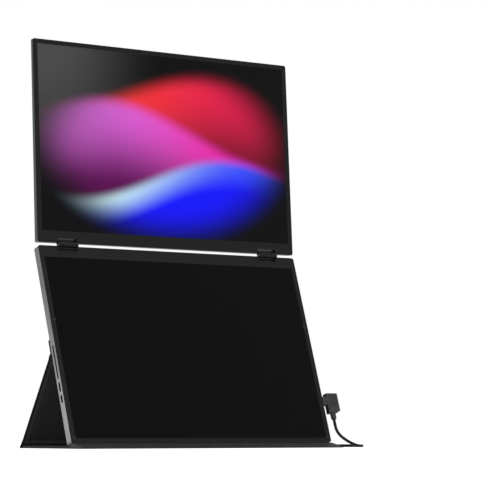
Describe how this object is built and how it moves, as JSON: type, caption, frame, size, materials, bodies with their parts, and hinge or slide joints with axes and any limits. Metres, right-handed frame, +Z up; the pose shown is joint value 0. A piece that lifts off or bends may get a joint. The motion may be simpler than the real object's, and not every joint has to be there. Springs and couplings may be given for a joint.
{
  "type": "two-panel laptop screen extender",
  "caption": "Folding two-panel portable monitor that stands behind a laptop: slim upper display hinged to a thicker lower display, on a folding leather stand, with a USB lead.",
  "frame": {"origin": "middle of the footprint of the stand and panels, on the table; the lead is left out of it", "axes": "+Z up, the screens face -Y, +X to the viewer's right"},
  "size_m": [0.4135, 0.1664, 0.4659],
  "materials": {
    "lower_metal": "bead-blasted, mid-grey anodised",
    "upper_metal": "bead-blasted, dark-grey anodised",
    "frame_plastic": "spark-textured black ABS",
    "black_glass": "polished, black print behind the border",
    "display_cell": "polarised film",
    "backlight_film": "white diffuser film",
    "circuit_board": "green solder mask",
    "black_components": "moulded black",
    "steel": "nickel-plated or dark spring steel",
    "socket_steel": "blackened",
    "speaker_mesh": "woven black nylon",
    "ribbon": "amber film",
    "key_plastic": "satin black ABS",
    "hinge_metal": "black oxide",
    "bumper_rubber": "soft black",
    "black_leather": "pebble-grained imitation leather, black",
    "stiff_board": "grey-brown millboard",
    "plug_plastic": "moulded charcoal ABS, ribbed grips",
    "lead_jacket": "extruded matte black jacket",
    "tie_fabric": "black hook-and-loop tape"
  },
  "bodies": {
    "lower_display": {"lower_rear_shell": "lower_metal", "lower_front_frame": "frame_plastic", "lower_cover_glass": "black_glass", "lower_display_cell": "display_cell", "lower_backlight": "backlight_film", "main_board": "circuit_board", "main_board_chips": "black_components", "main_board_screws": "steel", "port_board": "circuit_board", "port_ribbon": "ribbon", "left_usb_socket": "socket_steel", "mini_hdmi_socket": "socket_steel", "right_usb_socket": "socket_steel", "left_speaker": "black_components", "right_speaker": "black_components", "speaker_meshes": "speaker_mesh", "key_bezel": "key_plastic", "key_board": "circuit_board", "key_switches": "steel", "lower_hinge_leaves": "hinge_metal", "hinge_pins": "steel", "hinge_washers": "steel", "lower_hinge_screws": "steel", "closing_bumpers": "bumper_rubber", "stand_strip": "black_leather", "strip_magnets": "steel", "top_crease": "black_leather", "plug_tip": "steel", "plug_body": "plug_plastic", "plug_relief": "plug_plastic", "lead": "lead_jacket", "lead_coil": "lead_jacket", "coil_tie": "tie_fabric", "far_relief": "plug_plastic", "far_plug_body": "plug_plastic", "far_plug_tip": "steel"},
    "upper_display": {"upper_rear_shell": "upper_metal", "upper_front_frame": "frame_plastic", "upper_cover_glass": "black_glass", "upper_display_cell": "display_cell", "upper_backlight": "backlight_film", "upper_driver_board": "circuit_board", "upper_hinge_leaves": "hinge_metal", "upper_hinge_screws": "steel"},
    "stand_leg": {"leg_board": "stiff_board", "leg_outer_skin": "black_leather", "leg_lining": "black_leather", "foot_crease": "black_leather"},
    "stand_base": {"base_board": "stiff_board", "base_sole": "black_leather", "base_lining": "black_leather", "front_lip": "black_leather"},
    "upper_key": {"upper_key": "key_plastic"},
    "middle_key": {"middle_key": "key_plastic"},
    "lower_key": {"lower_key": "key_plastic"}
  },
  "joints": [
    {"name": "screen_hinge", "type": "hinge", "parent": "lower_display", "child": "upper_display", "pos_m": [0, 0.03017, 0.2301], "axis": [1, 0, 0], "range_deg": [-15.3, 164.7]},
    {"name": "stand_fold", "type": "hinge", "parent": "lower_display", "child": "stand_leg", "pos_m": [0, 0.00139, 0.10434], "axis": [1, 0, 0], "range_deg": [-51.1, 0]},
    {"name": "base_fold", "type": "hinge", "parent": "stand_leg", "child": "stand_base", "pos_m": [0, 0.0694, 0.0001], "axis": [1, 0, 0], "range_deg": [0, 302.3]},
    {"name": "upper_key_press", "type": "slide", "parent": "lower_display", "child": "upper_key", "axis": [1, 0, 0], "range_m": [0, 0.0004], "stiffness_N_per_m": 500, "springref_m": -0.0004},
    {"name": "middle_key_press", "type": "slide", "parent": "lower_display", "child": "middle_key", "axis": [1, 0, 0], "range_m": [0, 0.0004], "stiffness_N_per_m": 500, "springref_m": -0.0004},
    {"name": "lower_key_press", "type": "slide", "parent": "lower_display", "child": "lower_key", "axis": [1, 0, 0], "range_m": [0, 0.0004], "stiffness_N_per_m": 500, "springref_m": -0.0004}
  ],
  "couplings": [
    {"joint": "base_fold", "follows": "stand_fold", "ratio": -5.9139}
  ]
}
